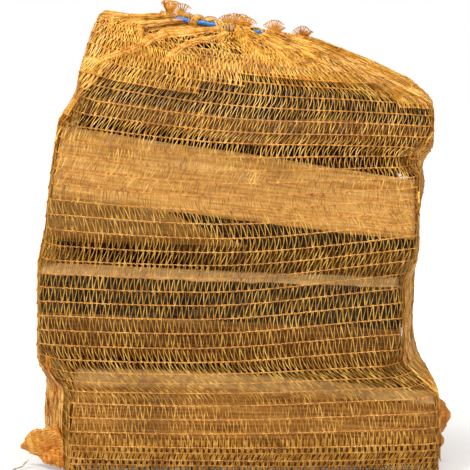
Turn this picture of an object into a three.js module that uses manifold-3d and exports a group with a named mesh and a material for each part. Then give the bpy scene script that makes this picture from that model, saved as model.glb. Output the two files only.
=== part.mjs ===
// A sack of split firewood: split logs lying side to side in layers, held by a knitted net sack whose
// mouth is drawn together with a cord. Millimetres, +Z up, the front of the stack towards -Y, and the
// origin at the middle of the flat base that the sack stands on.
import * as THREE from "three";
import { ConvexGeometry } from "three/addons/geometries/ConvexGeometry.js";
import { mergeVertices } from "three/addons/utils/BufferGeometryUtils.js";
import Module from "manifold-3d";

// ---------------------------------------------------------------- driving dimensions
const NET_GAP = 0.7; // from a log to the inside of the net
const NET_WALL = 1.5; // the knitted net with its folds
const LEVEL_STEP = 12; // height between two sections of the sack
const SACK_SIDES = 32; // flats round one section of the sack
const CONVEX_ROUNDS = 60; // passes over a section's flats that make it convex
const LOGS_TOP = 390; // the highest section that still goes round logs, measured on the middle line
const SHOULDER = 12; // the top sections all go round the logs down to this far below the highest one
const FRONT_SPAN = 72; // the net bridges hollows this far up and down along the front and the back,
const END_SPAN = 14; // this far over the logs' ends,
const TOP_SPAN = 60; // and this far wherever the cord pulls on it
const TOP_PULL = [320, 380]; // the levels between which that pull sets in

const MOUTH_HALF_WIDTH = 66; // the drawn mouth along X, at the cord
const MOUTH_HALF_DEPTH = 15; // and along Y
const MOUTH_CORD_LEVEL = 401; // height of the cord on the middle line
const MOUTH_EDGE_LEVEL = 411; // height of the knitted edge above it
const MOUTH_FLARE = 6; // the edge stands out past the cord's waist
const MOUTH_SLOPE = -0.176; // the mouth drops towards +X
const SLOPE_START = 200; // below this height the sections of the sack are level

const CORD_RADIUS = 2.2; // drawstring
const CORD_GAP = 1.9; // from the net's waist to the cord
const WAIST_HALF_HEIGHT = 3; // the waist that the cord lies in
const RING_STEPS = 72; // sections round the cord's ring
const CORD_SIDES = 8; // corners of one of them

const EAR_THICKNESS = 9; // a bottom corner of the sack, folded flat
const LEFT_EAR_Y = -58; // where the left corner stands
const RIGHT_EAR_Y = -26; // and the right one
const THREAD_RADIUS = 0.6; // sewing thread of the bottom seam

// ---------------------------------------------------------------- split logs
// Each log is the convex body through its sections. A section lies across the log at x, its outline is
// given as [y, z] points, and lean tips it, so that x grows with height where lean is above 0.
const LOGS = {
  // Front layer, bottom to top.
  log_front_1: [
    {
      x: -150,
      lean: 0.05,
      outline: [[-95, 3], [-107, 12], [-110, 40], [-104, 88], [-74, 96], [-28, 90], [-20, 50], [-28, 3]],
    },
    { x: 12, outline: [[-100, 3], [-111, 30], [-105, 83], [-74, 91], [-28, 85], [-20, 45], [-28, 3]] },
    {
      x: 179,
      lean: -0.03,
      outline: [[-96, 3], [-110, 30], [-103, 67], [-74, 74], [-30, 70], [-20, 40], [-28, 3]],
    },
  ],
  log_front_2: [
    {
      x: -178,
      lean: 0.03,
      outline: [[-58, 101], [-97, 121], [-109, 148], [-101, 185], [-75, 192], [-26, 188], [-16, 150]],
    },
    {
      x: 146,
      lean: -0.02,
      outline: [[-60, 84], [-99, 115], [-110, 131], [-103, 173], [-78, 180], [-28, 176], [-18, 140]],
    },
  ],
  log_front_3: [
    {
      x: -167,
      lean: 0.12,
      outline: [[-66, 318], [-112, 254], [-88, 209], [-36, 200], [-13, 240], [-22, 292]],
    },
    { x: 30, outline: [[-74, 287], [-114, 227], [-99, 203], [-42, 196], [-13, 225], [-26, 270]] },
    {
      x: 159,
      lean: 0.04,
      outline: [[-82, 268], [-112, 212], [-104, 203], [-42, 194], [-13, 225], [-30, 260]],
    },
  ],
  log_front_4: [
    {
      x: -140,
      lean: 0.06,
      outline: [[-80, 325], [-85, 342], [-73, 360], [-32, 365], [-9, 344], [-24, 324]],
    },
    { x: 20, outline: [[-86, 292], [-93, 318], [-80, 352], [-36, 357], [-11, 325], [-30, 293]] },
    { x: 76, outline: [[-84, 297], [-92, 322], [-80, 359], [-40, 363], [-18, 330], [-28, 297]] },
    {
      x: 174,
      lean: 0.05,
      outline: [[-66, 298], [-72, 314], [-62, 327], [-30, 331], [-14, 316], [-26, 298]],
    },
  ],
  // Middle layer, bottom to top.
  log_middle_1: [
    { x: -176, lean: 0.04, outline: [[-11, 5], [44, 3], [54, 52], [42, 104], [-2, 110], [-15, 60]] },
    { x: 150, lean: -0.05, outline: [[-11, 4], [44, 3], [51, 30], [42, 50], [-2, 52], [-14, 30]] },
  ],
  log_middle_2: [
    { x: -172, lean: 0.05, outline: [[-6, 116], [42, 112], [55, 160], [42, 208], [0, 207], [-11, 160]] },
    { x: 168, lean: -0.42, outline: [[-9, 60], [42, 59], [50, 84], [40, 109], [-6, 110], [-13, 86]] },
  ],
  log_middle_3: [
    { x: -160, lean: -0.05, outline: [[-3, 214], [50, 214], [57, 238], [42, 261], [2, 262], [-9, 238]] },
    { x: 160, lean: 0.05, outline: [[-6, 118], [44, 117], [55, 158], [42, 192], [0, 192], [-11, 155]] },
  ],
  log_middle_4: [
    { x: -150, lean: 0.08, outline: [[0, 268], [46, 267], [57, 300], [42, 335], [6, 338], [-6, 303]] },
    { x: 156, lean: 0.02, outline: [[-4, 199], [46, 199], [57, 226], [44, 250], [2, 251], [-9, 226]] },
  ],
  log_middle_5: [
    { x: -131, lean: 0.3, outline: [[0, 346], [40, 341], [56, 368], [44, 394], [4, 404], [-18, 382]] },
    { x: 164, lean: -0.14, outline: [[2, 258], [48, 257], [58, 300], [44, 341], [8, 347], [-4, 302]] },
  ],
  // Back layer, bottom to top.
  log_back_1: [
    {
      x: -158,
      lean: 0.06,
      outline: [[62, 4], [98, 3], [109, 22], [111, 52], [102, 80], [64, 88], [60, 40]],
    },
    {
      x: 160,
      lean: -0.04,
      outline: [[58, 4], [96, 3], [108, 26], [109, 60], [98, 88], [62, 92], [56, 42]],
    },
  ],
  log_back_2: [
    {
      x: -166,
      lean: -0.05,
      outline: [[66, 95], [104, 90], [111, 124], [102, 148], [66, 156], [61, 124]],
    },
    { x: 150, lean: 0.03, outline: [[64, 99], [102, 95], [110, 128], [101, 152], [66, 159], [58, 128]] },
  ],
  log_back_3: [
    {
      x: -164,
      lean: 0.04,
      outline: [[70, 164], [98, 156], [110, 196], [108, 240], [92, 262], [66, 264], [62, 220]],
    },
    {
      x: 162,
      lean: 0.05,
      outline: [[68, 166], [100, 160], [110, 190], [108, 226], [90, 241], [66, 242], [61, 206]],
    },
  ],
  log_back_4: [
    { x: -140, lean: 0.1, outline: [[64, 271], [94, 270], [108, 300], [102, 334], [78, 352], [63, 350]] },
    {
      x: 150,
      lean: -0.06,
      outline: [[64, 250], [92, 250], [106, 284], [100, 322], [78, 336], [62, 334]],
    },
  ],
  log_back_5: [
    { x: -108, lean: 0.0, outline: [[62, 360], [86, 358], [90, 374], [76, 388], [60, 390]] },
    { x: 112, lean: 0.0, outline: [[64, 344], [88, 343], [90, 354], [78, 364], [63, 365]] },
  ],
};

// The corner points of a log, from its leaning sections.
function logPoints(sections) {
  return sections.flatMap(({ x, lean = 0, outline }) => {
    const middle = outline.reduce((sum, [, z]) => sum + z, 0) / outline.length;
    return outline.map(([y, z]) => new THREE.Vector3(x + lean * (z - middle), y, z));
  });
}

// ---------------------------------------------------------------- sections of the sack
// A section of the sack is a plane across it. It is level low down, and tips with the mouth towards the
// top: at x its height is level + slope(level) * x.
function slopeAt(level) {
  const share = (level - SLOPE_START) / (MOUTH_EDGE_LEVEL - SLOPE_START);
  return MOUTH_SLOPE * THREE.MathUtils.clamp(share, 0, 1);
}

function heightAt(level, x) {
  return level + slopeAt(level) * x;
}

// The part of the line from a to b that lies between the planes of two levels, as its two end points.
function clipToLevels(a, b, low, high) {
  let from = 0;
  let to = 1;
  for (const [level, side] of [[low, 1], [high, -1]]) {
    const above = (p) => side * (p.z - heightAt(level, p.x));
    const fa = above(a);
    const fb = above(b);
    if (fa < 0 && fb < 0) return [];
    if (fa < 0) from = Math.max(from, fa / (fa - fb));
    if (fb < 0) to = Math.min(to, fa / (fa - fb));
  }
  if (from > to) return [];
  return [a.clone().lerp(b, from), a.clone().lerp(b, to)];
}

// Every point that a tight sack has to go round between two levels.
function pointsBetween(logs, low, high) {
  const found = [];
  for (const points of logs) {
    points.forEach((a, i) => {
      for (const b of points.slice(i + 1)) found.push(...clipToLevels(a, b, low, high));
    });
  }
  return found;
}

// How far the points reach in each of the sack's directions.
function reachOf(points) {
  return DIRECTIONS.map((n) =>
    points.reduce((most, p) => Math.max(most, p.x * n.x + p.y * n.y), -Infinity),
  );
}

// The reach of an oval with half axes a and b.
function ovalReach(a, b) {
  return DIRECTIONS.map((n) => Math.hypot(a * n.x, b * n.y));
}

const DIRECTIONS = Array.from({ length: SACK_SIDES }, (_, j) => {
  const angle = (2 * Math.PI * j) / SACK_SIDES;
  return new THREE.Vector2(Math.cos(angle), Math.sin(angle));
});

// The corners of the section whose flats have these reaches: each is where two neighbouring flats meet.
function sectionCorners(reach, level) {
  return DIRECTIONS.map((n, j) => {
    const next = (j + 1) % SACK_SIDES;
    const m = DIRECTIONS[next];
    const cross = n.x * m.y - n.y * m.x;
    const x = (reach[j] * m.y - reach[next] * n.y) / cross;
    const y = (reach[next] * n.x - reach[j] * m.x) / cross;
    return new THREE.Vector3(x, y, heightAt(level, x));
  });
}

// A closed solid through rings of points, one ring above the other, with a flat fan at both ends.
function loft(rings) {
  const sides = rings[0].length;
  const ends = [rings[0], rings.at(-1)].map((ring) =>
    ring.reduce((sum, p) => sum.add(p), new THREE.Vector3()).divideScalar(sides),
  );
  const positions = [...rings.flat(), ...ends].flatMap((p) => p.toArray());
  const bottom = rings.length * sides;
  const top = (rings.length - 1) * sides;
  const index = [];
  for (let j = 0; j < sides; j++) {
    const k = (j + 1) % sides;
    for (let i = 0; i < rings.length - 1; i++) {
      const a = i * sides + j;
      const b = i * sides + k;
      index.push(a, b, b + sides, a, b + sides, a + sides);
    }
    index.push(bottom, k, j, bottom + 1, top + j, top + k);
  }
  const geometry = new THREE.BufferGeometry();
  geometry.setAttribute("position", new THREE.Float32BufferAttribute(positions, 3));
  geometry.setIndex(index);
  return geometry;
}

// ---------------------------------------------------------------- joining and cutting
const wasm = await Module();
wasm.setup();

function toSolid(geometry) {
  const bare = new THREE.BufferGeometry();
  bare.setAttribute("position", geometry.getAttribute("position"));
  bare.setIndex(geometry.index);
  const merged = mergeVertices(bare, 1e-3);
  return new wasm.Manifold(
    new wasm.Mesh({
      numProp: 3,
      vertProperties: new Float32Array(merged.attributes.position.array),
      triVerts: new Uint32Array(merged.index.array),
    }),
  );
}

function toGeometry(solid) {
  const mesh = solid.getMesh();
  const geometry = new THREE.BufferGeometry();
  geometry.setAttribute("position", new THREE.Float32BufferAttribute(mesh.vertProperties, 3));
  geometry.setIndex(new THREE.BufferAttribute(mesh.triVerts, 1));
  return geometry.toNonIndexed();
}

// ---------------------------------------------------------------- the net sack
// A corner of the sack's bottom, left over outside the logs: an outline in X and Z, folded flat to one
// thickness and standing across the sack at y.
function earSolid(outline, y) {
  const shape = new THREE.Shape(outline.map(([x, z]) => new THREE.Vector2(x, z)));
  const geometry = new THREE.ExtrudeGeometry(shape, { depth: EAR_THICKNESS, bevelEnabled: false });
  geometry.rotateX(Math.PI / 2);
  geometry.translate(0, y + EAR_THICKNESS / 2, 0);
  return toSolid(geometry);
}

// How far up and down the net bridges a hollow that faces along n, at a level.
function spanOf(n, level) {
  const faced = THREE.MathUtils.smoothstep(Math.abs(n.y), 0.6, 0.95);
  const pulled = THREE.MathUtils.smoothstep(level, ...TOP_PULL);
  return Math.max(THREE.MathUtils.lerp(END_SPAN, FRONT_SPAN, faced), TOP_SPAN * pulled);
}

// A tight net lies straight between the logs that it touches: at each level it reaches as far as any
// straight line between two sections within its span. A flat then never reaches past the corner of its
// two neighbours, so that each section stays convex.
function tighten(reaches, levels) {
  const tight = reaches.map((reach, i) =>
    reach.map((own, j) => {
      const near = (k) => Math.abs(levels[k] - levels[i]) <= spanOf(DIRECTIONS[j], levels[i]);
      let most = own;
      for (let a = i - 1; a >= 0 && near(a); a--) {
        for (let b = i + 1; b < levels.length && near(b); b++) {
          const share = (levels[i] - levels[a]) / (levels[b] - levels[a]);
          most = Math.max(most, THREE.MathUtils.lerp(reaches[a][j], reaches[b][j], share));
        }
      }
      return most;
    }),
  );
  const bothSides = 2 * Math.cos((2 * Math.PI) / SACK_SIDES);
  for (const reach of tight) {
    for (let round = 0; round < CONVEX_ROUNDS; round++) {
      for (let j = 0; j < SACK_SIDES; j++) {
        const neighbours = reach.at(j - 1) + reach[(j + 1) % SACK_SIDES];
        reach[j] = Math.min(reach[j], neighbours / bothSides);
      }
    }
  }
  return tight;
}

// The sections of the sack from its base to its edge, `offset` outside the logs.
function sackRings(logs, offset, floor, edge) {
  const levels = [];
  for (let level = 0; level < LOGS_TOP; level += LEVEL_STEP) levels.push(level);
  levels.push(LOGS_TOP);
  const reaches = levels.map((level) => {
    const low = Math.min(level, LOGS_TOP - SHOULDER) - LEVEL_STEP;
    return reachOf(pointsBetween(logs, low, level + LEVEL_STEP)).map((r) => r + NET_GAP + NET_WALL);
  });
  const waist = ovalReach(MOUTH_HALF_WIDTH, MOUTH_HALF_DEPTH);
  const edgeReach = ovalReach(MOUTH_HALF_WIDTH + MOUTH_FLARE, MOUTH_HALF_DEPTH + MOUTH_FLARE);
  levels.push(MOUTH_CORD_LEVEL - WAIST_HALF_HEIGHT);
  reaches.push(waist);
  const tight = tighten(reaches, levels);
  levels.push(MOUTH_CORD_LEVEL + WAIST_HALF_HEIGHT, edge);
  tight.push(waist, edgeReach);
  const inset = offset - NET_GAP - NET_WALL;
  return tight.map((reach, i) =>
    sectionCorners(reach.map((r) => r + inset), Math.max(levels[i], floor)),
  );
}

function netSack(logs) {
  const leftEar = [
    [-160, 3], [-178, 7], [-190, 8], [-197, 8], [-200, 13], [-199, 21], [-187, 34], [-160, 40],
  ];
  const rightEar = [[170, 2], [182, 6], [191, 13], [190, 24], [193, 33], [198, 45], [189, 60], [170, 62]];
  const outside = toSolid(loft(sackRings(logs, NET_GAP + NET_WALL, 0, MOUTH_EDGE_LEVEL)))
    .add(earSolid(leftEar, LEFT_EAR_Y))
    .add(earSolid(rightEar, RIGHT_EAR_Y));
  const inside = toSolid(loft(sackRings(logs, NET_GAP, NET_WALL, MOUTH_EDGE_LEVEL + 1)));
  return toGeometry(outside.subtract(inside));
}

// ---------------------------------------------------------------- the drawstring
// One cord round the waist of the mouth, its ends tied together at the back: a round section carried
// round the oval, which lies in the mouth's tipped plane.
function drawstringRing() {
  const out = CORD_RADIUS + CORD_GAP;
  const rings = [];
  for (let i = 0; i < RING_STEPS; i++) {
    const angle = (2 * Math.PI * i) / RING_STEPS;
    const centre = ovalPoint(angle, out);
    const outward = ovalPoint(angle, out + 1).sub(centre).normalize();
    rings.push(
      Array.from({ length: CORD_SIDES }, (_, j) => {
        const turn = (2 * Math.PI * j) / CORD_SIDES;
        const up = new THREE.Vector3(0, 0, CORD_RADIUS * Math.sin(turn));
        return centre.clone().addScaledVector(outward, CORD_RADIUS * Math.cos(turn)).add(up);
      }),
    );
  }
  const index = [];
  rings.forEach((_, i) => {
    const next = (i + 1) % RING_STEPS;
    for (let j = 0; j < CORD_SIDES; j++) {
      const a = i * CORD_SIDES + j;
      const b = i * CORD_SIDES + ((j + 1) % CORD_SIDES);
      const c = next * CORD_SIDES + j;
      const d = next * CORD_SIDES + ((j + 1) % CORD_SIDES);
      index.push(a, c, d, a, d, b);
    }
  });
  const geometry = new THREE.BufferGeometry();
  const positions = rings.flat().flatMap((p) => p.toArray());
  geometry.setAttribute("position", new THREE.Float32BufferAttribute(positions, 3));
  geometry.setIndex(index);
  return geometry;
}

// A point `out` past the waist, in the direction that the oval faces at this angle.
function ovalPoint(angle, out) {
  const facing = new THREE.Vector2(MOUTH_HALF_DEPTH * Math.cos(angle), MOUTH_HALF_WIDTH * Math.sin(angle));
  facing.normalize();
  const x = MOUTH_HALF_WIDTH * Math.cos(angle) + out * facing.x;
  const y = MOUTH_HALF_DEPTH * Math.sin(angle) + out * facing.y;
  return new THREE.Vector3(x, y, heightAt(MOUTH_CORD_LEVEL, x));
}

// ---------------------------------------------------------------- the seam thread
// The end of the bottom seam's sewing thread, hanging from the left ear to the ground.
function threadTail() {
  const path = new THREE.CatmullRomCurve3([
    new THREE.Vector3(-192, -66, 7),
    new THREE.Vector3(-195, -70, 4),
    new THREE.Vector3(-199, -74, 1.6),
    new THREE.Vector3(-205, -80, 0.7),
  ]);
  const section = new THREE.Shape().absarc(0, 0, THREAD_RADIUS, 0, 2 * Math.PI);
  return new THREE.ExtrudeGeometry(section, { steps: 12, curveSegments: 4, extrudePath: path });
}

// ---------------------------------------------------------------- materials and assembly
const bark = new THREE.MeshStandardMaterial({ color: 0x6a4e2c, roughness: 0.95, metalness: 0 });
const splitWood = new THREE.MeshStandardMaterial({ color: 0xc59a5e, roughness: 0.8, metalness: 0 });
const netTape = new THREE.MeshStandardMaterial({ color: 0xe0a040, roughness: 0.4, metalness: 0 });
const blueCord = new THREE.MeshStandardMaterial({ color: 0x2f7fc4, roughness: 0.5, metalness: 0 });
const paleThread = new THREE.MeshStandardMaterial({ color: 0xd8d4cc, roughness: 0.8, metalness: 0 });
const BARK_OUT = ["log_front_2", "log_back_1", "log_back_3"];

const bundle = new THREE.Group();

function addPart(name, geometry, material) {
  const mesh = new THREE.Mesh(geometry, material.clone());
  mesh.name = name;
  bundle.add(mesh);
}

const logs = Object.values(LOGS).map(logPoints);
Object.keys(LOGS).forEach((name, i) => {
  addPart(name, new ConvexGeometry(logs[i]), BARK_OUT.includes(name) ? bark : splitWood);
});
addPart("net_sack", netSack(logs), netTape);
addPart("drawstring", drawstringRing(), blueCord);
addPart("seam_thread", threadTail(), paleThread);

export default bundle;
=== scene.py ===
"""A firewood bundle: split logs lying in layers inside a knitted net sack, its mouth drawn with a cord."""

import bpy
import numpy as np
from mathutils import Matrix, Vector


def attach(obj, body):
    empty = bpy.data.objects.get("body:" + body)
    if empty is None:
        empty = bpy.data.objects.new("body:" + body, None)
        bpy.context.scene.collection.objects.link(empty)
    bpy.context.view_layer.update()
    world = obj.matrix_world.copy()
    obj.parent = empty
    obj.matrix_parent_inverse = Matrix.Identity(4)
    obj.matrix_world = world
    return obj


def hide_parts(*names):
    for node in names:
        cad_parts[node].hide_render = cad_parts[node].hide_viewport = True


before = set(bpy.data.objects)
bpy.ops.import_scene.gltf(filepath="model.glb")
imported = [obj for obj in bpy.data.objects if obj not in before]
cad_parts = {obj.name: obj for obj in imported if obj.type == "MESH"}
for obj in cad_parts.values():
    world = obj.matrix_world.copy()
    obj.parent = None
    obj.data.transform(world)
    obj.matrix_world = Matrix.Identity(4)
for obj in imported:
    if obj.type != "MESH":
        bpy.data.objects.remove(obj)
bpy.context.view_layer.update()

# ------------------------------------------------------------------------------------ split logs
# Air-dried hardwood, sawn to length and split by wedge: each log has two or three torn, fibrous
# faces, bark on the side that was the outside of the trunk, and two sawn ends. They lie loose on
# each other. All lengths in this script are millimetres until a mesh is made.
MM = 0.001
STATIONS, AROUND, END_RINGS = 90, 100, 8
PITH_DEPTH = 62  # from a log's middle to the pith, away from its bark
GROWTH_RING = 3.6
GROUND = 0.05  # nothing comes lower than this
FRONT, BACK, UP, DOWN = (-1, 0), (1, 0), (0, 1), (0, -1)

# Which way a log's bark faces (y, z), how far round its flats may turn from that way and still be
# bark, and the colours of its split wood from deep grain to clean fibre.
TAN = ("#a86d2a", "#d99f50", "#f0c27c")
BROWN = ("#6e3e10", "#ab6f2c", "#d0964c")
RUSSET = ("#5c3410", "#a06a30", "#cc9c58")
# One log's under-face is bark only to the right of a slanting line: x at a height, and x per height.
BARK_FROM = {"log_front_3": (-59, 236, 2.2)}
LOG_LOOKS = {
    "log_front_1": (DOWN, 18, BROWN),
    "log_front_2": (FRONT, 18, RUSSET),
    "log_front_3": ((-0.6, -0.8), 45, TAN),
    "log_front_4": ((-0.45, 0.9), 52, RUSSET),
    "log_middle_1": (DOWN, 60, BROWN),
    "log_middle_2": (UP, 50, RUSSET),
    "log_middle_3": (BACK, 60, TAN),
    "log_middle_4": (FRONT, 50, BROWN),
    "log_middle_5": (BACK, 60, RUSSET),
    "log_back_1": (BACK, 70, BROWN),
    "log_back_2": ((0.5, -0.8), 50, TAN),
    "log_back_3": (BACK, 75, RUSSET),
    "log_back_4": ((0.6, 0.8), 60, BROWN),
    "log_back_5": (UP, 70, TAN),
}


def cad_surface(node):
    """A CAD node's corner points in mm, and the planes of its flats: unit normals n and distances
    d, where n . p = d. Flats that share a plane count once."""
    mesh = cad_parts[node].data
    points = np.empty(3 * len(mesh.vertices))
    mesh.vertices.foreach_get("co", points)
    points = points.reshape(-1, 3) / MM
    mesh.calc_loop_triangles()
    corners = np.empty(3 * len(mesh.loop_triangles), dtype=np.int32)
    mesh.loop_triangles.foreach_get("vertices", corners)
    a, b, c = points[corners.reshape(-1, 3)].transpose(1, 0, 2)
    normal = np.cross(b - a, c - a)
    area = np.linalg.norm(normal, axis=1)
    big = area > 20
    normal = normal[big] / area[big, None]
    planes = np.c_[normal, (normal * a[big]).sum(1)]
    kept = []
    for plane in planes:
        if not any(plane[:3] @ k[:3] > 0.9995 and abs(plane[3] - k[3]) < 0.6 for k in kept):
            kept.append(plane)
    kept = np.array(kept)
    return np.unique(np.round(points, 3), axis=0), kept[:, :3], kept[:, 3]


def lattice_noise(u, v, seed, wrap=4096):
    """A smooth random value from 0 to 1 at each (u, v): a random number sits on every whole-number
    corner, and between corners they blend by the smoothstep 3f^2 - 2f^3 of the fractions. v
    repeats after `wrap` corners."""
    table = np.random.default_rng(seed).random((128, 128))
    u, v = np.broadcast_arrays(u, v)
    i, j = np.floor(u).astype(int), np.floor(v).astype(int)
    f, g = u - i, v - j
    f, g = f * f * (3 - 2 * f), g * g * (3 - 2 * g)

    def corner(di, dj):
        return table[(i + di) % 128, ((j + dj) % wrap) % 128]

    low = corner(0, 0) * (1 - f) + corner(1, 0) * f
    return low * (1 - g) + (corner(0, 1) * (1 - f) + corner(1, 1) * f) * g


def smoothstep(low, high, value):
    """0 below `low`, 1 above `high`, and 3t^2 - 2t^3 between them."""
    t = np.clip((value - low) / (high - low), 0, 1)
    return t * t * (3 - 2 * t)


def grid_quads(rows, columns, closed_rows=False, closed_columns=True):
    """The quads of a grid of points numbered row by row, which may close on itself either way."""
    i = np.arange(rows if closed_rows else rows - 1)[:, None]
    j = np.arange(columns if closed_columns else columns - 1)[None, :]
    below, beside = (i + 1) % rows, (j + 1) % columns
    quads = np.stack(np.broadcast_arrays(
        i * columns + j, i * columns + beside, below * columns + beside, below * columns + j), -1)
    return quads.reshape(-1, 4)


def capped_grid(rows, columns, flipped=False):
    """A grid's quads, closed round its columns, and the triangles that close its first and last row
    on two poles, numbered after the grid's own points."""
    j = np.arange(columns)
    beside, end, pole = (j + 1) % columns, (rows - 1) * columns, np.full(columns, rows * columns)
    caps = np.concatenate([np.c_[pole, beside, j], np.c_[pole + 1, end + j, end + beside]])
    way = -1 if flipped else 1
    return grid_quads(rows, columns)[:, ::way], caps[:, ::way]


def new_piece(name, points, quads, triangles=(), smooth=True, **attributes):
    """A mesh object from points in mm, with its faces and one float attribute per keyword. What
    would hang lower than the ground lies on it."""
    mesh = bpy.data.meshes.new(name)
    points = np.asarray(points)
    points = np.c_[points[:, :2], np.maximum(points[:, 2], GROUND)]
    quads = np.asarray(quads, dtype=np.int32).reshape(-1, 4)
    triangles = np.asarray(triangles, dtype=np.int32).reshape(-1, 3)
    mesh.vertices.add(len(points))
    mesh.vertices.foreach_set("co", (points * MM).astype(np.float32).ravel())
    mesh.loops.add(quads.size + triangles.size)
    mesh.loops.foreach_set("vertex_index", np.r_[quads.ravel(), triangles.ravel()])
    sizes = np.r_[np.full(len(quads), 4), np.full(len(triangles), 3)]
    mesh.polygons.add(len(sizes))
    mesh.polygons.foreach_set("loop_start", np.r_[0, np.cumsum(sizes)[:-1]].astype(np.int32))
    mesh.polygons.foreach_set("use_smooth", np.full(len(sizes), smooth))
    for attribute, values in attributes.items():
        layer = mesh.attributes.new(attribute, "FLOAT", "POINT")
        layer.data.foreach_set("value", np.asarray(values, dtype=np.float32).ravel())
    mesh.update(calc_edges=True)
    mesh.validate()
    piece = bpy.data.objects.new(name, mesh)
    bpy.context.scene.collection.objects.link(piece)
    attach(piece, "root")
    return piece


def log_shape(node, bark_way, bark_turn, seed):
    """The log as a radius about its middle line. At distance t along the line and angle a round
    it, the radius is where a ray first meets one of the flats, (d - n.c) / (n.ray), softened at
    the edges by a high-power mean over the flats, less a relief that only takes wood away: long
    torn fibres on split faces, furrows on bark. The ends close with rings that shrink to the
    middle."""
    points, normals, reach = cad_surface(node)
    ends, leans = [], []
    for side in (-1, 1):
        k = np.argmax(normals[:, 0] * side)
        on_end = np.abs(points @ normals[k] - reach[k]) < 0.5
        ends.append(points[on_end].mean(0))
        leans.append(-normals[k, 1:] / normals[k, 0])
    sides = np.abs(normals[:, 0]) < 0.75
    n, d = normals[sides], reach[sides]
    bark_way = np.array(bark_way) / np.linalg.norm(bark_way)
    is_bark = (n[:, 1:] @ bark_way) > np.cos(np.radians(bark_turn))

    t = np.linspace(0, 1, STATIONS)[:, None, None]
    angle = np.linspace(0, 2 * np.pi, AROUND, endpoint=False)
    across = np.stack([np.cos(angle), np.sin(angle)], -1)[None]
    lean = leans[0] * (1 - t) + leans[1] * t
    centre = ends[0] * (1 - t) + ends[1] * t
    ray = np.concatenate([(across * lean).sum(-1, keepdims=True),
                          np.broadcast_to(across, (STATIONS, AROUND, 2))], -1)
    towards = ray @ n.T
    distance = np.where(towards > 0.02, (d - centre @ n.T) / np.maximum(towards, 0.02), 1e4)
    nearest = distance.min(-1, keepdims=True)
    share = (nearest / distance) ** 70
    bark = (share * is_bark).sum(-1) / share.sum(-1)
    # painted light: a value from +1 on flats that face up to -1 on flats that face down, which the wood's
    # colour turns into a paler top and painted shade underneath
    tilt = np.where(n[:, 2] > 0.75, 1.0, np.where(n[:, 2] < -0.2, -1.0, 0.0))
    weather = (share * tilt).sum(-1) / share.sum(-1)
    edge = 34 - 20 * bark
    radius = nearest[..., 0] * ((nearest / distance) ** edge[..., None]).sum(-1) ** (-1 / edge)

    x, _, z = np.moveaxis(centre + ray * radius[..., None], -1, 0)
    if node in BARK_FROM:
        start, height, slant = BARK_FROM[node]
        bark = bark * smoothstep(-14, 14, x - start - slant * (height - z))
    turn = np.broadcast_to(angle / (2 * np.pi), x.shape)
    fibre = (1.1 * lattice_noise(x / 70, turn * 46, seed, 46)
             + 0.8 * lattice_noise(x / 28, turn * 90, seed + 1, 90))
    ledge = 1.6 * smoothstep(0.5, 0.62, lattice_noise(x / 150, turn * 13, seed + 2, 13))
    swell = 2.6 * lattice_noise(x / 85, turn * 5, seed + 3, 5)
    cell = np.abs(2 * lattice_noise(x / 30, turn * 34, seed + 4, 34) - 1)
    cell2 = np.abs(2 * lattice_noise(x / 13, turn * 52, seed + 5, 52) - 1)
    furrow = 3.0 * (1 - smoothstep(0.02, 0.5, cell)) + 1.4 * (1 - smoothstep(0, 0.6, cell2))
    radius = radius - swell - bark * furrow - (1 - bark) * (fibre + ledge)
    side_points = centre + ray * radius[..., None]

    rings = []
    for row, sign in ((0, -1), (-1, 1)):
        share_in = np.r_[0.975, np.linspace(0.9, 0.1, END_RINGS - 1)][:, None]
        # saw marks: shallow steps across the end, and a dished middle
        mark = 0.5 * lattice_noise(turn[row][None] * 7, share_in * 9, seed + 6, 97)
        ring = centre[row] + ray[row][None] * (radius[row][None] * share_in)[..., None]
        ring[..., 0] -= sign * (mark + 0.3 * (share_in < 0.95))
        rings.append(ring)
    poles = [ring[-1].mean(0) for ring in rings]
    all_points = np.concatenate([rings[0][::-1].reshape(-1, 3), side_points.reshape(-1, 3),
                                 rings[1].reshape(-1, 3), poles])
    total = 2 * END_RINGS + STATIONS
    quads, triangles = capped_grid(total, AROUND, flipped=True)
    bark_all = np.r_[np.repeat(bark[:1], END_RINGS, 0), bark, np.repeat(bark[-1:], END_RINGS, 0)]
    end_all = np.r_[np.ones(END_RINGS * AROUND), np.zeros(STATIONS * AROUND),
                    np.ones(END_RINGS * AROUND), 1, 1]
    rim = np.r_[np.repeat(0.0, END_RINGS - 1), 1, np.zeros(STATIONS), 1, np.zeros(END_RINGS - 1)]
    bark_all = np.r_[(bark_all * np.where(end_all[:-2].reshape(total, AROUND) > 0,
                                          rim[:, None], 1)).ravel(), 0, 0]
    weather_all = np.zeros(len(all_points))
    weather_all[END_RINGS * AROUND:(END_RINGS + STATIONS) * AROUND] = weather.ravel()
    return all_points, quads, triangles, bark_all, end_all, weather_all, ends, bark_way


def linear(hex_colour):
    """An sRGB hex colour as the linear values that a shader works in."""
    c = np.array([int(hex_colour[i:i + 2], 16) for i in (1, 3, 5)]) / 255
    c = np.where(c <= 0.04045, c / 12.92, ((c + 0.055) / 1.055) ** 2.4)
    return (*c, 1.0)


def add(tree, kind, settings=None, links=None, stops=None):
    """A new node with its settings, its links, and a colour ramp's stops (place, hex colour). A link
    comes from a socket, or from a node's first output."""
    node = tree.nodes.new("ShaderNode" + kind)
    for key, value in (settings or {}).items():
        if isinstance(key, str) and hasattr(node, key):
            setattr(node, key, value)
        else:
            node.inputs[key].default_value = value
    for key, source in (links or {}).items():
        output = source.outputs[0] if isinstance(source, bpy.types.Node) else source
        tree.links.new(output, node.inputs[key])
    if stops:
        elements = node.color_ramp.elements
        while len(elements) < len(stops):
            elements.new(0.5)
        for element, (place, colour) in zip(elements, stops):
            element.position, element.color = place, linear(colour)
    return node


def new_material(name):
    """A material with an empty tree but for its Principled shader and output."""
    material = bpy.data.materials.new(name)
    material.use_nodes = True
    tree = material.node_tree
    return material, tree, tree.nodes["Principled BSDF"]


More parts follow.
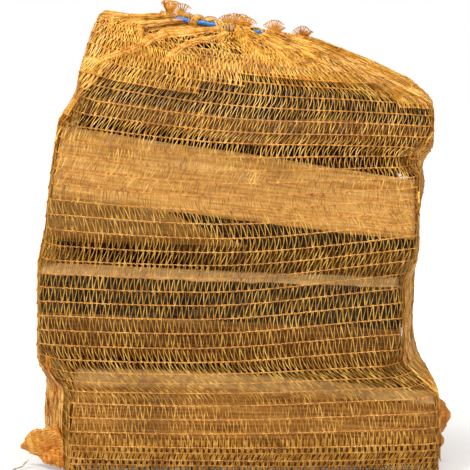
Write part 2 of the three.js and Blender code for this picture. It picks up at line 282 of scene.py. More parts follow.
def air_dried_oak(name, colours, middle, along, bark_way, seed):
    """Air-dried split hardwood: matt, with growth rings about a pith that lies opposite the bark, so
    split faces show them as long lines and sawn ends as arcs, fine torn fibres along the log, and
    bark in broken dark plates with a green film."""
    material, tree, shader = new_material(name)
    turn = Vector(along).rotation_difference(Vector((1, 0, 0)))
    pith = Vector(middle) - PITH_DEPTH * Vector((0, bark_way[0], bark_way[1]))
    shift = -(turn.to_matrix() @ (pith * MM))
    place = add(tree, "TexCoord").outputs["Object"]
    grain = add(tree, "Mapping", {"Location": shift, "Rotation": turn.to_euler()},
                {"Vector": place})
    axes = add(tree, "SeparateXYZ", {}, {0: grain})
    flat = add(tree, "CombineXYZ", {}, {1: axes.outputs[1], 2: axes.outputs[2]})
    radius = add(tree, "VectorMath", {"operation": "LENGTH"}, {0: flat})
    long_way = add(tree, "VectorMath", {"operation": "MULTIPLY", 1: (0.07, 1, 1)}, {0: grain})
    wander = add(tree, "TexNoise", {"Scale": 55, "Detail": 3}, {"Vector": long_way})
    # fibres about 2 mm across, coarser than real ones, so that they show at this size
    fibre = add(tree, "TexNoise", {"Scale": 420, "Detail": 4, "Roughness": 0.65},
                {"Vector": long_way})
    streak = add(tree, "TexNoise", {"Scale": 130, "Detail": 2}, {"Vector": long_way})
    bent = add(tree, "Math", {"operation": "MULTIPLY_ADD", 1: 0.012}, {0: wander, 2: radius.outputs["Value"]})
    phase = add(tree, "Math", {"operation": "MULTIPLY", 1: 2 * np.pi / (GROWTH_RING * MM)}, {0: bent})
    wave = add(tree, "Math", {"operation": "SINE"}, {0: phase})
    ring = add(tree, "MapRange", {"From Min": -1.0, "From Max": 1.0, "To Min": 0.0, "To Max": 1.0}, {0: wave})
    tone = add(tree, "Math", {"operation": "MULTIPLY_ADD", 1: 0.62}, {0: fibre})
    streaks = add(tree, "Math", {"operation": "MULTIPLY_ADD", 1: 0.5, 2: -0.13}, {0: streak})
    tree.links.new(streaks.outputs[0], tone.inputs[2])
    toned = add(tree, "Math", {"operation": "MULTIPLY_ADD", 1: 0.13}, {0: ring, 2: tone})
    wood = add(tree, "ValToRGB", {}, {0: toned},
               [(0.3, colours[0]), (0.5, colours[1]), (0.72, colours[2])])
    stain = add(tree, "TexNoise", {"Scale": 16, "Detail": 3}, {"Vector": place})
    stain_amount = add(tree, "MapRange", {"From Min": 0.52, "From Max": 0.72, "To Max": 0.5}, {0: stain})
    # painted light: faces that look up are painted paler, as if lit from above, and faces that look down are
    # painted darker, as painted shade
    weather = add(tree, "Attribute", {"attribute_name": "weather"}).outputs["Fac"]
    painted_top_light = add(tree, "MapRange", {"From Min": 0.1, "From Max": 0.9, "To Max": 0.7}, {0: weather})
    painted_under_shade = add(tree, "MapRange", {"From Min": -0.1, "From Max": -0.9, "To Max": 0.5}, {0: weather})
    pale = add(tree, "Mix", {"data_type": "RGBA", 7: linear("#f2c78a")}, {0: painted_top_light, 6: wood})
    dark = add(tree, "Mix", {"data_type": "RGBA", 7: linear("#4a2a0c")}, {0: painted_under_shade, 6: pale.outputs[2]})
    stained = add(tree, "Mix", {"data_type": "RGBA", 7: linear("#5a3a1c")},
                  {0: stain_amount, 6: dark.outputs[2]})

    # sawn ends: pale, dulled by dust, rings sharper
    end_tone = add(tree, "Math", {"operation": "MULTIPLY_ADD", 1: 0.5}, {0: ring, 2: tone})
    sawn = add(tree, "ValToRGB", {}, {0: end_tone},
               [(0.35, "#8a5a2c"), (0.7, "#c8995c"), (0.95, "#dcb780")])
    at_end = add(tree, "Attribute", {"attribute_name": "sawn"}).outputs["Fac"]
    bare = add(tree, "Mix", {"data_type": "RGBA"}, {0: at_end, 6: stained.outputs[2], 7: sawn})

    # bark plates about 8 by 25 mm with black furrows
    bark_way_3d = add(tree, "VectorMath", {"operation": "MULTIPLY", 1: (0.35, 1, 1)}, {0: grain})
    plates = add(tree, "TexNoise", {"Scale": 120, "Detail": 5, "Roughness": 0.7, "Distortion": 0.6},
                 {"Vector": bark_way_3d})
    bark = add(tree, "ValToRGB", {}, {0: plates},
               [(0.36, "#100902"), (0.5, "#2c1d0b"), (0.63, "#5a4320"), (0.78, "#846839")])
    film = add(tree, "TexNoise", {"Scale": 30, "Detail": 2}, {"Vector": place})
    film_amount = add(tree, "MapRange", {"From Min": 0.5, "From Max": 0.7, "To Max": 0.45}, {0: film})
    green = add(tree, "Mix", {"data_type": "RGBA", 7: linear("#3e3d1e")}, {0: film_amount, 6: bark})
    mask = add(tree, "Attribute", {"attribute_name": "bark"}).outputs["Fac"]
    ragged = add(tree, "Math", {"operation": "MULTIPLY_ADD", 1: 0.5, 2: -0.25}, {0: plates})
    on_bark = add(tree, "Math", {"operation": "ADD"}, {0: mask, 1: ragged})
    bark_amount = add(tree, "MapRange", {"From Min": 0.42, "From Max": 0.56}, {0: on_bark})
    colour = add(tree, "Mix", {"data_type": "RGBA"},
                 {0: bark_amount, 6: bare.outputs[2], 7: green.outputs[2]})
    tree.links.new(colour.outputs[2], shader.inputs["Base Color"])

    relief = add(tree, "Mix", {"data_type": "FLOAT"}, {0: bark_amount, 2: toned, 3: plates})
    bump = add(tree, "Bump", {"Strength": 0.7, "Distance": 1.2 * MM}, {"Height": relief})
    tree.links.new(bump.outputs[0], shader.inputs["Normal"])
    rough = add(tree, "MapRange", {"To Min": 0.68, "To Max": 0.92}, {0: fibre})
    tree.links.new(rough.outputs[0], shader.inputs["Roughness"])
    shader.inputs["IOR"].default_value = 1.5
    shader.inputs["Specular IOR Level"].default_value = 0.3
    return material


for number, (node, (bark_way, bark_turn, colours)) in enumerate(LOG_LOOKS.items()):
    *surface, bark, sawn, weather, ends, way = log_shape(node, bark_way, bark_turn, 10 * number)
    piece = new_piece(node.replace("log", "split_log"), *surface, bark=bark, sawn=sawn, weather=weather)
    middle, along = (ends[0] + ends[1]) / 2, (ends[1] - ends[0]) / np.linalg.norm(ends[1] - ends[0])
    piece.data.materials.append(air_dried_oak("air_dried_" + node, colours, middle, along, way, number))
    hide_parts(node)

# ------------------------------------------------------------------------------------ the net
# A raschel-knitted tube of stretched golden-orange polyethylene tape: rows of chain stitch run round
# the sack about 12 mm apart, and one thin tape zigzags between each two rows. It is pulled tight
# over the logs, folded flat under them, and gathered to the cord at the top.
ROWS = 46  # rows of chain stitch from the bottom seam to the cord
WALES = 204  # zigzags round the sack
TAPE_WIDTH, TAPE_THICKNESS = 1.0, 0.4
STITCH_WIDTH, STITCH_THICKNESS = 0.85, 0.7
NET_OFF_LOG = 1.4  # the tapes' middle, out from the flats that the logs were cut to
MOUTH_HALF_WIDTH, MOUTH_HALF_DEPTH = 66.0, 15.0
CORD_LEVEL, MOUTH_SLOPE, SLOPE_START, SLOPE_END = 401.0, -0.176, 200.0, 411.0
LOGS_TOP, SHOULDER, LEVELS = 390.0, 12.0, 100
WAYS = 128  # directions in which the sack's reach is worked out
# The net spans hollows this far up the front and back, over the ends, and near the top
FRONT_SPAN, END_SPAN, TOP_SPAN, TOP_PULL = 72, 14, 60, (320, 380)

facing = 2 * np.pi * np.arange(WAYS) / WAYS
way_out = np.stack([np.cos(facing), np.sin(facing)], -1)


def slope_at(level):
    """How a section of the sack tips along x: level low down, and like the mouth at the top."""
    return MOUTH_SLOPE * np.clip((level - SLOPE_START) / (SLOPE_END - SLOPE_START), 0, 1)


def reach_between(starts, stops, low, high):
    """How far the logs between two sections reach in each direction. starts and stops are the ends
    of every straight line between two corners of a log; each is cut to the slab between the
    sections, and the reach is the greatest w . p over what is left."""
    first, last = np.zeros(len(starts)), np.ones(len(starts))
    keep = np.ones(len(starts), dtype=bool)
    for level, side in ((low, 1), (high, -1)):
        a = side * (starts[:, 2] - level - slope_at(level) * starts[:, 0])
        b = side * (stops[:, 2] - level - slope_at(level) * stops[:, 0])
        keep &= (a >= 0) | (b >= 0)
        cut = a / np.where(a == b, 1, a - b)
        first = np.where(a < 0, np.maximum(first, cut), first)
        last = np.where(b < 0, np.minimum(last, cut), last)
    keep &= first <= last
    step = (stops - starts)[keep]
    cut_points = np.r_[starts[keep] + step * first[keep, None], starts[keep] + step * last[keep, None]]
    return (cut_points[:, :2] @ way_out.T).max(0)


def section_points(reach, level, count=720):
    """Points spaced evenly round the section whose flats have these reaches. Seen from the middle
    the outline is, at each angle, the nearest flat that a ray meets, reach / cos(angle between);
    it is then cut to even lengths, starting at the middle of the back and going past the left."""
    angle = np.pi / 2 + np.linspace(0, 2 * np.pi, 1441)
    cosine = np.cos(angle[:, None] - facing[None])
    radius = np.where(cosine > 0.05, reach / np.maximum(cosine, 0.05), 1e6).min(1)
    x, y = radius * np.cos(angle), radius * np.sin(angle)
    along = np.r_[0, np.cumsum(np.hypot(np.diff(x), np.diff(y)))]
    even = np.linspace(0, along[-1], count + 1)[:-1]
    x, y = np.interp(even, along, x), np.interp(even, along, y)
    return np.stack([x, y, level + slope_at(level) * x], -1)


def stretched(reach, levels):
    """The reach of a net stretched over hollows: at each level the greatest value that a straight
    line between any level below and any level above gives there, as long as both are within the
    span. The span is long along the front and back, short over the ends, where the logs' ends
    stand apart, and long everywhere near the top, where the cord pulls."""
    step = levels[1] - levels[0]
    span = END_SPAN + (FRONT_SPAN - END_SPAN) * smoothstep(0.6, 0.95, np.abs(way_out[:, 1]))[None, :]
    span = np.maximum(span, TOP_SPAN * smoothstep(*TOP_PULL, levels)[:, None])
    best = reach.copy()
    most = int(span.max() / step)
    for below in range(1, most + 1):
        for above in range(1, most + 1):
            middle = slice(below, len(levels) - above)
            both = below + above
            line = (reach[:len(levels) - both] * above + reach[both:] * below) / both
            near = span[middle] >= max(below, above) * step
            best[middle] = np.where(near, np.maximum(best[middle], line), best[middle])
    return best


def tight_sack(count=720):
    """The sack as sections from the bottom seam to the cord. A section's reach is that of the logs
    within 6 mm of it, stretched over the hollows, and eased a little. Under the logs it shrinks to
    the seam's line, and over them to the oval of the mouth."""
    starts, stops = [], []
    for node in LOG_LOOKS:
        corners = cad_surface(node)[0]
        i, j = np.triu_indices(len(corners), 1)
        starts.append(corners[i])
        stops.append(corners[j])
    starts, stops = np.concatenate(starts), np.concatenate(stops)
    levels = np.linspace(0, CORD_LEVEL - 2, LEVELS)
    mouth = np.hypot(MOUTH_HALF_WIDTH * way_out[:, 0], MOUTH_HALF_DEPTH * way_out[:, 1])
    raw = np.array([reach_between(starts, stops, min(level, LOGS_TOP - SHOULDER) - 6, level + 6)
                    + NET_OFF_LOG if level <= LOGS_TOP else np.zeros(WAYS) for level in levels])
    raw[-1] = mouth
    reach = stretched(raw, levels)
    for _ in range(3):
        reach[1:-1] = np.maximum(raw[1:-1], (reach[:-2] + 2 * reach[1:-1] + reach[2:]) / 4)
    sections = []
    base = section_points(reach[0], 0.0, count)
    for share, height in ((0.03, 1.3), (0.5, 1.2), (0.9, 1.2), (0.985, 1.9)):
        under = base * (share, share, 0)
        under[:, 0] = base[:, 0] * (0.93 if share < 0.1 else min(1, 0.9 + 0.1 * share))
        under[:, 2] = height
        sections.append(under)
    for level, row in zip(levels[1:], reach[1:]):
        sections.append(section_points(row, level, count))
    sections.append(section_points(mouth, CORD_LEVEL + 1, count))
    return np.array(sections)


sack = tight_sack()
up_the_sack = np.linalg.norm(np.diff(sack, axis=0), axis=2)
height_share = np.r_[np.zeros((1, sack.shape[1])), np.cumsum(up_the_sack, 0)]
height_share /= height_share[-1]
# rows keep to the sack's sections more than to each wale's own length: the knit slides round corners
columns = sack.shape[1]
front_share = height_share[:, int(0.4 * columns):int(0.6 * columns)].mean(1, keepdims=True)
height_share = 0.8 * front_share + 0.2 * height_share


def net_points(row, turn):
    """Where the net lies: row counts rows of stitches from the bottom seam, turn goes once round
    from the middle of the back, past the left end, to the front and the right end. Rows are equal
    shares of the way up, and both are read from the sections by straight interpolation."""
    row, turn = np.broadcast_arrays(np.asarray(row, float), np.asarray(turn, float))
    count = sack.shape[1]
    column = (turn % 1) * count
    j = np.floor(column).astype(int) % count
    f = (column - np.floor(column))[..., None]
    share = np.clip(row / ROWS, 0, 1)
    found = []
    for offset in (0, 1):
        k = (j + offset) % count
        flat_k, flat_share = k.ravel(), share.ravel()
        i = np.zeros(len(flat_k), dtype=int)
        for step in range(len(height_share) - 1):
            i = np.where(height_share[step, flat_k] <= flat_share, step, i)
        i = np.minimum(i, len(height_share) - 2)
        low, high = height_share[i, flat_k], height_share[i + 1, flat_k]
        g = ((flat_share - low) / np.maximum(high - low, 1e-9))[:, None]
        found.append((sack[i, flat_k] * (1 - g) + sack[i + 1, flat_k] * g).reshape(*k.shape, 3))
    return found[0] * (1 - f) + found[1] * f


def gather(row, turn):
    """How the wales bunch towards the mouth: the turn is shifted by waves of uneven length, which
    close them up to pleats at the cord, and is spread out left of the front's middle, where the
    net is open, at the cost of the wales on both sides of it."""
    amount = smoothstep(ROWS - 8, ROWS - 1, row) * 0.75
    shift = 0.6 * np.sin(2 * np.pi * 23 * turn + 1.3) / 23 + 0.5 * np.sin(2 * np.pi * 37 * turn) / 37
    away = (turn % 1 - 0.42) / 0.04
    spread = 0.026 * smoothstep(ROWS - 8, ROWS - 4, row) * away * np.exp(-away ** 2 / 2)
    return turn + amount * shift / (2 * np.pi) + spread


def row_drift(turn, row):
    """How far, in rows, a stitch row leaves its own level: it climbs towards the right end in the
    middle of the sack, with a slight random sway."""
    middle = np.exp(-((row - 24) / 10.0) ** 2)
    climb = 1.3 * middle * smoothstep(0.48, 0.7, turn) * (1 - smoothstep(0.76, 0.95, turn))
    sway = 0.22 * (lattice_noise(row / 4.0, turn * 7, 501, 7) - 0.5)
    fade = smoothstep(0.5, 3, row) * (1 - smoothstep(ROWS - 3, ROWS - 0.5, row))
    return (climb + sway) * fade


def pleat_height(row, turn):
    """How far the pleats stand off the sack near the mouth, in mm."""
    amount = smoothstep(ROWS - 9, ROWS - 1, row)
    wave = 0.5 + 0.5 * np.sin(2 * np.pi * 23 * turn + 1.3)
    return amount * 4.5 * wave * lattice_noise(turn * 31, row / 6, 77, 97)


def facing_out(place, row, turn):
    """A surface's outward direction: along a row (as seen by `place`) times up the rows."""
    along = place(row, turn + 0.004) - place(row, turn - 0.004)
    up = place(row + 0.3, turn) - place(row - 0.3, turn)
    out = np.cross(along, up)
    return out / np.maximum(np.linalg.norm(out, axis=-1, keepdims=True), 1e-9)


def lay_net(row, turn):
    """Points of the net in use: the tight sack with the drift of the rows and the gathers put in. A
    slack fold of it stands up over the top left corner by up to 9 mm."""
    turn = gather(row, turn)
    points = net_points(row + row_drift(turn, row), turn)
    slack = np.exp(-((turn % 1 - 0.24) / 0.07) ** 2) * np.exp(-((row - ROWS + 5) / 2.6) ** 2)
    return points + 9 * slack[..., None] * (0.15, 0, 1)


def tapes(paths, out, width, thickness, twist=0.0):
    """Flat tapes along many paths at once: at each point the section is a flat diamond, `width`
    across the path and `thickness` along `out`, turned about the path by `twist`. Both ends are
    closed. Returns points and quads."""
    along = np.gradient(paths, axis=1)
    along /= np.maximum(np.linalg.norm(along, axis=-1, keepdims=True), 1e-9)
    side = np.cross(along, out)
    side /= np.maximum(np.linalg.norm(side, axis=-1, keepdims=True), 1e-9)
    up = np.cross(side, along)
    twist = np.broadcast_to(np.asarray(twist, float), paths.shape[:2])[..., None]
    side, up = side * np.cos(twist) + up * np.sin(twist), up * np.cos(twist) - side * np.sin(twist)
    w = np.broadcast_to(np.asarray(width, float), paths.shape[:2])[..., None] / 2
    h = np.broadcast_to(np.asarray(thickness, float), paths.shape[:2])[..., None] / 2
    ring = np.stack([paths + side * w, paths + up * h, paths - side * w, paths - up * h], 2)
    count, steps = paths.shape[:2]
    one = grid_quads(steps, 4)
    caps = np.array([[3, 2, 1, 0], [4 * steps - 4, 4 * steps - 3, 4 * steps - 2, 4 * steps - 1]])
    one = np.concatenate([one[:, ::-1], caps[:, ::-1]])
    quads = one[None] + (np.arange(count) * steps * 4)[:, None, None]
    return ring.reshape(-1, 3), quads.reshape(-1, 4)


def merge(*parts):
    """Several (points, quads) as one."""
    offsets = np.cumsum([0] + [len(points) for points, _ in parts[:-1]])
    return (np.concatenate([points for points, _ in parts]),
            np.concatenate([quads + offset for (_, quads), offset in zip(parts, offsets)]))


rng = np.random.default_rng(7)


def knit(place, first_row, last_row, first_turn, last_turn, wales, height=None, scale=1.0, last_stitch=0):
    """Net over any surface place(row, turn): between each two rows stand Vs of tape, whose feet are
    close together on the lower row and whose heads nearly meet the next V's on the upper one;
    they lean by a smooth random amount. Along each row runs a chain stitch, drawn down a little at each foot.
    `height` lifts it off the surface. Returns the tapes and the rows as (points, quads)."""
    rows = np.arange(first_row, last_row)
    pitch = (last_turn - first_turn) / wales
    foot = first_turn + pitch * (np.arange(wales)[None, :] + rng.normal(0, 0.06, (len(rows), wales)))
    lean = 0.3 * (lattice_noise(rows[:, None] / 4.0, foot * 13, 333, 13) - 0.6)
    head = foot + pitch * (-0.46 + lean + rng.normal(0, 0.04, foot.shape))
    lift = height or (lambda row, turn: 0 * (row + turn))
    parts = []
    for start, stop in ((foot, head), (foot + 0.14 * pitch, head + 0.84 * pitch)):
        t = np.linspace(0, 1, 3)[None, None, :]
        row = rows[:, None, None] + t
        turn = start[..., None] * (1 - t) + stop[..., None] * t
        out = facing_out(place, row, turn)
        off = lift(row, turn) + rng.normal(0, 0.12, (*start.shape, 1))
        path = (place(row, turn) + out * off[..., None]).reshape(-1, 3, 3)
        width = scale * TAPE_WIDTH * rng.uniform(0.6, 1.2, start.shape)[..., None] + 0 * t
        twist = rng.normal(0, 0.5, start.shape)[..., None] + 0 * t
        parts.append(tapes(path, out.reshape(-1, 3, 3), width.reshape(-1, 3), TAPE_THICKNESS,
                           twist.reshape(-1, 3)))
    rows = np.arange(first_row, last_row + last_stitch)
    loop = np.arange(3 * wales + 1)[None, :]
    turn = first_turn + pitch * loop / 3
    row = rows[:, None] + 0 * turn
    turn = turn + 0 * row
    out = facing_out(place, row, turn)
    pull = np.where(loop % 3, 0.018, -0.036) + rng.normal(0, 0.008, row.shape)
    path = place(row + pull, turn) + out * (0.3 + lift(row, turn)[..., None])
    width = scale * STITCH_WIDTH * np.where(loop % 3, 0.9, 1.3) * np.ones((len(rows), 1))
    return merge(*parts), tapes(path, out, width, scale * STITCH_THICKNESS)


def net_piece(name, zigzag, chain, materials):
    """A piece of net: its zigzag tapes in the first material, and its stitch rows in the second."""
    points, quads = merge(zigzag, chain)
    piece = new_piece(name, points, quads, smooth=False)
    for material in materials:
        piece.data.materials.append(material)
    piece.data.polygons.foreach_set("material_index", np.r_[
        np.zeros(len(zigzag[1]), np.int32), np.ones(len(chain[1]), np.int32)])
    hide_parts("net_sack")
    return piece


def polyethylene_tape(name, hex_colours, thin=0.0):
    """Stretched polyethylene tape: slick, so it takes small long highlights, and split thin in
    places, where it lets what is behind show through by the share `thin`."""
    material, tree, shader = new_material(name)
    place = add(tree, "TexCoord").outputs["Object"]
    tone = add(tree, "TexNoise", {"Scale": 40, "Detail": 3}, {"Vector": place})
    fine = add(tree, "TexNoise", {"Scale": 170, "Detail": 1}, {"Vector": place})
    both = add(tree, "Math", {"operation": "MULTIPLY_ADD", 1: 0.6}, {0: fine})
    half = add(tree, "Math", {"operation": "MULTIPLY_ADD", 1: 0.5, 2: -0.05}, {0: tone})
    tree.links.new(half.outputs[0], both.inputs[2])
    colour = add(tree, "ValToRGB", {}, {0: both},
                 [(0.35, hex_colours[0]), (0.5, hex_colours[1]), (0.66, hex_colours[2])])
    tree.links.new(colour.outputs[0], shader.inputs["Base Color"])
    rough = add(tree, "MapRange", {"To Min": 0.28, "To Max": 0.5}, {0: fine})
    tree.links.new(rough.outputs[0], shader.inputs["Roughness"])
    if thin:
        solid = add(tree, "MapRange", {"From Min": 0.3, "From Max": 0.6, "To Min": 1 - thin, "To Max": 1.0},
                    {0: fine})
        tree.links.new(solid.outputs[0], shader.inputs["Alpha"])
    shader.inputs["IOR"].default_value = 1.5
    shader.inputs["Specular IOR Level"].default_value = 0.45
    return material


zigzag_tape = polyethylene_tape("zigzag_tape", ("#9a6a1c", "#c8902e", "#e8b656"), thin=0.3)
stitch_tape = polyethylene_tape("stitch_tape", ("#b06a1a", "#d88e2a", "#edab46"))
# painted light: a paler copy of the golden tape, used for the net over the ends, the front folds and the
# frill so that they look more brightly lit
painted_light_tape = polyethylene_tape("painted_light_tape", ("#cf8c28", "#efb048", "#fdd075"))
golden_tape = polyethylene_tape("golden_tape", ("#b97a1c", "#dc9c2e", "#f0be52"))
for name, first_row, last_row in (("net_bottom", 0, 11), ("net_lower_middle", 11, 22), ("net_middle", 22, 33),
                                  ("net_upper_middle", 33, 38), ("net_top", 38, ROWS)):
    net_piece(name, *knit(lay_net, first_row, last_row, 0.0, 1.0, WALES, pleat_height),
              (golden_tape if name == "net_top" else zigzag_tape, stitch_tape))

# ------------------------------------------------------------------------------------ net folds
# Where the sack is pulled together, the net lies in folds of several layers: one runs from the cord
# down to the left over the front, another up the left end from the bottom corner.


def fold(first, last, half_width, height, wander):
    """A place(row, turn) for a fold: row 0..6 goes along a line on the net from one (row, turn) to
    another, turn 0..1 across it over an arch, height * (1 - across^2) above the net. The line
    bows sideways by `wander` turns of the sack."""
    first, last = np.array(first, float), np.array(last, float)

    def place(row, turn):
        row, turn = np.broadcast_arrays(row, turn)
        share = np.clip(row / 6.0, -0.05, 1.05)
        line = first + (last - first) * share[..., None] + np.stack(
            [0 * share, wander * np.sin(np.pi * share)], -1)
        ahead = lay_net(line[..., 0] + 0.05 * (last - first)[0], line[..., 1] + 0.05 * (last - first)[1])
        here = lay_net(line[..., 0], line[..., 1])
        out = facing_out(lay_net, line[..., 0], line[..., 1])
        side = np.cross(ahead - here, out)
        side /= np.maximum(np.linalg.norm(side, axis=-1, keepdims=True), 1e-9)
        across = 2 * turn - 1
        taper = (0.55 + 0.45 * np.sin(np.pi * np.clip(share, 0, 1)))[..., None]
        ripple = 0.7 * np.sin(11 * across + 9 * share)
        lift = 0.8 + height * (1 - across ** 2) + ripple
        return here + side * (across * half_width)[..., None] * taper + out * lift[..., None]
    return place


def slack(row, turn):
    """How far a slack second layer of net stands off the first, in mm."""
    loose = 1.4 + 1.8 * smoothstep(34, 40, row)
    return 1.4 + pleat_height(row, turn) + loose * lattice_noise(row / 2.2, turn * 40, 611, 40)


def shifted_net(row, turn):
    """The net half a cell further along, where its slack layer lies."""
    return lay_net(row - 0.45, turn + 0.0022 + 0.004 * np.sin(0.9 * row))


# slack layers: (first row, last row, first turn, last turn), where the cord pulls the net together
# and over the two ends
SLACK_PATCHES = {
    "slack_net_top": ((37, ROWS, 0.14, 0.372), (37, 40, 0.372, 0.43), (38, 40, 0.43, 0.47),
                      (39, ROWS, 0.468, 0.62), (37, ROWS, 0.62, 0.86), (37, ROWS, -0.14, 0.14)),
    "slack_net_ends": ((9, 38, 0.17, 0.335), (9, 37, 0.66, 0.83)),
}
for name, patches in SLACK_PATCHES.items():
    # the layer over the two ends takes the painted-light copy of the tape
    doubled, broad = (painted_light_tape, 1.5) if name == "slack_net_ends" else (golden_tape, 1.05)
    parts = [knit(shifted_net, first, last, start, stop, round((stop - start) * WALES), slack, broad)
             for first, last, start, stop in patches]
    net_piece(name, *(merge(*pair) for pair in zip(*parts)), (doubled, stitch_tape))


def net_under_logs(row, turn):
    """The sack's bottom folded double: a second layer 1.1 mm inside the first."""
    return lay_net(row - 0.45, turn + 0.002) - 1.1 * facing_out(lay_net, row, turn)


net_piece("bottom_fold", *knit(net_under_logs, 1, 11, 0.0, 1.0, WALES, None, 1.2), (golden_tape, stitch_tape))


def tucked_net(row, turn):
    """The net at the back of the mouth, tucked in under itself by 5 mm where it is drawn up."""
    return lay_net(row - 0.2, turn + 0.004) - 5 * facing_out(lay_net, row, turn)


def tucked_deeper(row, turn):
    """A second tuck, 10 mm under the net, with its wales crossing those of the first."""
    return lay_net(row - 0.6, turn + 0.012 * np.sin(2.1 * row)) - 10 * facing_out(lay_net, row, turn)


tucks = [knit(place, 39, ROWS, -0.22, 0.22, wales, None, broad)
         for place, wales, broad in ((tucked_net, 150, 1.5), (tucked_deeper, 170, 1.6))]
net_piece("tucked_net", *(merge(*pair) for pair in zip(*tucks)), (golden_tape, golden_tape))

deep_orange = polyethylene_tape("deep_orange_tape", ("#b8521a", "#dc7a26", "#ef9c42"))
ear_tape = polyethylene_tape("ear_tape", ("#d98420", "#f3a534", "#ffcb66"))
front_fold = fold((45.2, 0.433), (37.2, 0.318), 5.5, 2.6, 0.003)
second_fold = fold((44.6, 0.455), (38.4, 0.385), 3.6, 1.6, -0.004)
# the upper front fold takes the painted-light copy of the golden tape
net_piece("front_fold", *(merge(*pair) for pair in zip(
    knit(front_fold, 0, 6, 0.0, 1.0, 20), knit(second_fold, 0, 6, 0.0, 1.0, 12))), (painted_light_tape, golden_tape))
side_fold = fold((10.3, 0.276), (17.2, 0.356), 3.4, 2.0, 0.0)
net_piece("side_fold", *knit(side_fold, 0, 6, 0.0, 1.0, 9), (ear_tape, deep_orange))

# ------------------------------------------------------------------------------------ frill
# Above the cord the last row of the net stands free. It is about four times as long as the mouth
# is round, so it falls into fans and knots, some upright, most laid over outwards.
FRILL_SHARES = 30  # fans round the mouth


def mouth_point(angle, out, up):
    """A point `out` past the mouth's oval and `up` above the cord's level, on its tipped plane."""
    facing_way = np.stack([MOUTH_HALF_DEPTH * np.cos(angle), MOUTH_HALF_WIDTH * np.sin(angle)], -1)
    facing_way /= np.linalg.norm(facing_way, axis=-1, keepdims=True)
    x = MOUTH_HALF_WIDTH * np.cos(angle) + out * facing_way[..., 0]
    y = MOUTH_HALF_DEPTH * np.sin(angle) + out * facing_way[..., 1]
    return np.stack([x, y, CORD_LEVEL + up + MOUTH_SLOPE * x], -1)


def fan(angle, radius, lean, spread, phase):
    """A place(row, turn) for one fan of the frill: row 0..1 from the cord out to the rim, turn 0..1
    round it from one side to the other. It is a sector of a circle of this radius, leaning
    outwards, with a ripple across it that grows to the rim."""
    root = mouth_point(np.array(angle), -0.5, 2.5)
    out = mouth_point(np.array(angle), 1.0, 2.5) - mouth_point(np.array(angle), 0.0, 2.5)
    along = np.cross((0, 0, 1.0), out)

    def place(row, turn):
        row, turn = np.broadcast_arrays(row, turn)
        sweep = (2 * turn - 1) * spread
        r = 1.2 + radius * row
        height = r * np.cos(sweep)
        ripple = 1.3 * row * np.sin(3 * sweep + phase)
        return (root + along * (r * np.sin(sweep))[..., None]
                + out * (height * np.sin(lean) + ripple)[..., None]
                + np.array((0, 0, 1.0)) * (height * np.cos(lean))[..., None])
    return place


# upright fans along the front, by x: their radius, lean outwards and half spread
UPRIGHT = {-64: (12, 0.1, 0.7), -62: (12, -0.2, 0.6), -66: (11, 0.3, 0.9), -53: (11, 0.1, 0.95),
           -10: (9, 0.4, 1.2), -4: (11, 0.3, 1.1), 2: (11, 0.2, 1.1), 8: (9, 0.1, 1.2), 5: (7, 0.7, 1.2),
           33: (11, 0.15, 0.9), 37: (8, 0.6, 0.8), 59: (10, 0.1, 0.95), 63: (8, 0.5, 0.8)}
fans = [(-np.arccos(np.clip(x / MOUTH_HALF_WIDTH, -1, 1)), *look) for x, look in UPRIGHT.items()]
for k in range(FRILL_SHARES):
    angle = 2 * np.pi * (k + 0.5) / FRILL_SHARES
    bare = -0.86 * MOUTH_HALF_WIDTH < MOUTH_HALF_WIDTH * np.cos(angle) < -0.3 * MOUTH_HALF_WIDTH
    radius, lean = rng.uniform(4, 6.5), -0.9 if bare else rng.uniform(1.2, 1.9)
    fans.append((angle, radius, lean, rng.uniform(0.9, 1.4)))
parts = [knit(fan(*look, rng.uniform(0, 6)), 0, 1, 0.0, 1.0, 9, last_stitch=1, scale=0.8) for look in fans]
# the frill's tapes take the painted-light copy of the golden tape
net_piece("net_frill", *(merge(*pair) for pair in zip(*parts)), (painted_light_tape, golden_tape))

# ------------------------------------------------------------------------------------ drawstring
# An eight-strand braided blue cord, 4.4 mm thick, threaded through the net's last row and tied
# behind with an overhand knot. The net's loops pass over it except where it shows.
CORD_RADIUS, CORD_OUT = 2.2, 4.1


def tube(path, radius, sides=14, closed=False, strands=0, turns=0.0):
    """A tube along a path: rings square to it, carried along without twist. With strands, the radius
    swells by |sin| of two opposite helices, as a braid's strands do. Open ends close on a pole."""
    path = np.asarray(path, float)
    along = (np.roll(path, -1, 0) - np.roll(path, 1, 0)) if closed else np.gradient(path, axis=0)
    along /= np.linalg.norm(along, axis=1, keepdims=True)
    fixed = np.array((0.12, 0.05, 1.0)) / np.linalg.norm((0.12, 0.05, 1.0))
    side = np.cross(along, fixed)
    side /= np.maximum(np.linalg.norm(side, axis=1, keepdims=True), 1e-9)
    up = np.cross(side, along)
    angle = np.linspace(0, 2 * np.pi, sides, endpoint=False)[None]
    share = np.linspace(0, 1, len(path), endpoint=not closed)[:, None]
    swell = 1.0
    if strands:
        a = np.sin(strands / 2 * angle + np.pi * turns * share)
        b = np.sin(strands / 2 * angle - np.pi * turns * share)
        swell = 0.9 + 0.14 * np.maximum(np.abs(a), np.abs(b))
    size = np.broadcast_to(np.reshape(radius, (-1, 1)) * swell, (len(path), sides))[..., None]
    cosine, sine = np.cos(angle)[..., None], np.sin(angle)[..., None]
    ring = path[:, None] + size * (cosine * side[:, None] + sine * up[:, None])
    if closed:
        return ring.reshape(-1, 3), grid_quads(len(path), sides, closed_rows=True), np.zeros((0, 3), int)
    return np.concatenate([ring.reshape(-1, 3), path[:1], path[-1:]]), *capped_grid(len(path), sides)


def join_tubes(name, tubes):
    """One smooth piece from several tubes."""
    offsets = np.cumsum([0] + [len(points) for points, _, _ in tubes[:-1]])
    return new_piece(name, np.concatenate([t[0] for t in tubes]),
                     np.concatenate([t[1] + o for t, o in zip(tubes, offsets)]),
                     np.concatenate([t[2] + o for t, o in zip(tubes, offsets)]))


